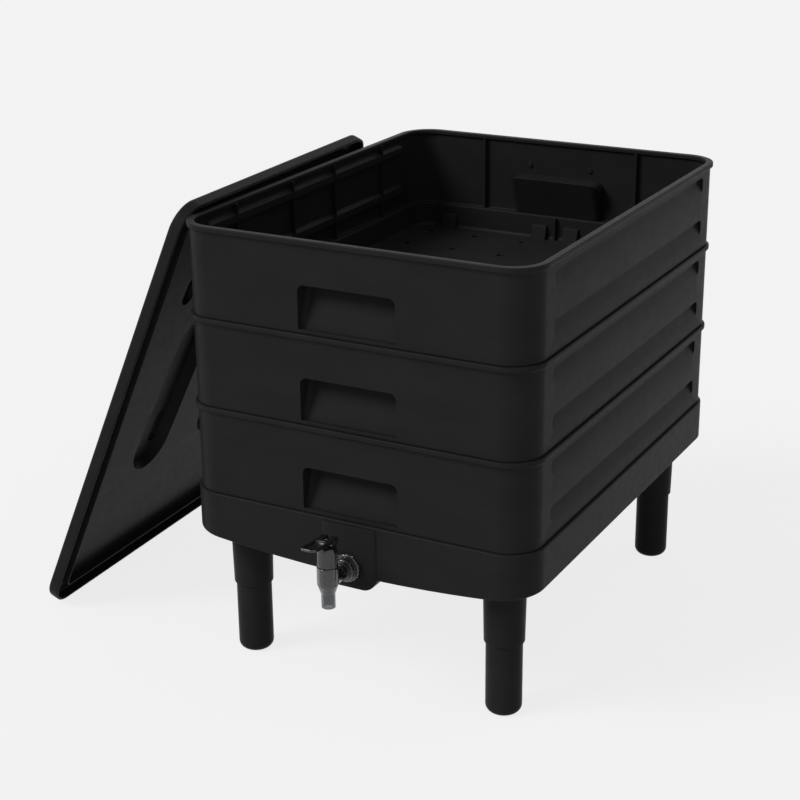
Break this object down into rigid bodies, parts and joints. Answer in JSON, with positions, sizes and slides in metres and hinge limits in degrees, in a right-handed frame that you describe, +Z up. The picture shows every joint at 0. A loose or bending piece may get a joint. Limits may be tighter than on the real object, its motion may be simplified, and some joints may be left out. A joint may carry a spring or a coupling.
{
  "type": "wormery",
  "caption": "Stacking wormery: working trays on a sump with legs and a lever tap, the lid leaning beside the stack.",
  "frame": {"origin": "middle of the whole footprint, the leaning lid included, on the floor that the legs stand on", "axes": "+Z up, -Y towards the front with the tap, +X from the leaning lid towards the stack"},
  "size_m": [0.6486, 0.618, 0.5093],
  "materials": {
    "black_plastic": "satin, moulded",
    "leg_plastic": "satin, moulded",
    "smoky_plastic": "smooth, smoky grey",
    "tap_plastic": "smooth",
    "rubber": "matt",
    "silicone": "matt",
    "steel": "drawn"
  },
  "bodies": {
    "stand": {"base": "black_plastic", "leg_front_left": "leg_plastic", "leg_front_right": "leg_plastic", "leg_back_left": "leg_plastic", "leg_back_right": "leg_plastic", "tap_body": "smoky_plastic", "tap_bonnet": "tap_plastic", "tap_spring": "steel", "tap_washer_outer": "rubber", "tap_washer_inner": "rubber", "tap_nut": "tap_plastic"},
    "tray_bottom": {"tray_bottom": "black_plastic"},
    "tray_middle": {"tray_middle": "black_plastic"},
    "tray_top": {"tray_top": "black_plastic"},
    "lid": {"lid": "black_plastic"},
    "tap_valve": {"tap_stem": "tap_plastic", "tap_plug": "silicone", "tap_pin": "steel"},
    "tap_lever": {"tap_lever": "tap_plastic"}
  },
  "joints": [
    {"name": "tray_bottom_lift", "type": "slide", "parent": "stand", "child": "tray_bottom", "axis": [0, 0, 1], "range_m": [0, 0.15]},
    {"name": "tray_middle_lift", "type": "slide", "parent": "tray_bottom", "child": "tray_middle", "axis": [0, 0, 1], "range_m": [0, 0.15]},
    {"name": "tray_top_lift", "type": "slide", "parent": "tray_middle", "child": "tray_top", "axis": [0, 0, 1], "range_m": [0, 0.15]},
    {"name": "lid_lift", "type": "slide", "parent": "tray_top", "child": "lid", "axis": [0, 0, 1], "range_m": [0, 0.3]},
    {"name": "valve_rise", "type": "slide", "parent": "stand", "child": "tap_valve", "axis": [0, 0, 1], "range_m": [0, 0.004], "deforming": ["tap_spring"]},
    {"name": "lever_turn", "type": "hinge", "parent": "tap_valve", "child": "tap_lever", "pos_m": [0.12126, -0.269, 0.2015], "axis": [-1, 0, 0], "range_deg": [0, 80]}
  ],
  "couplings": [
    {"joint": "valve_rise", "follows": "lever_turn", "m_per_rad": 0.002864}
  ]
}
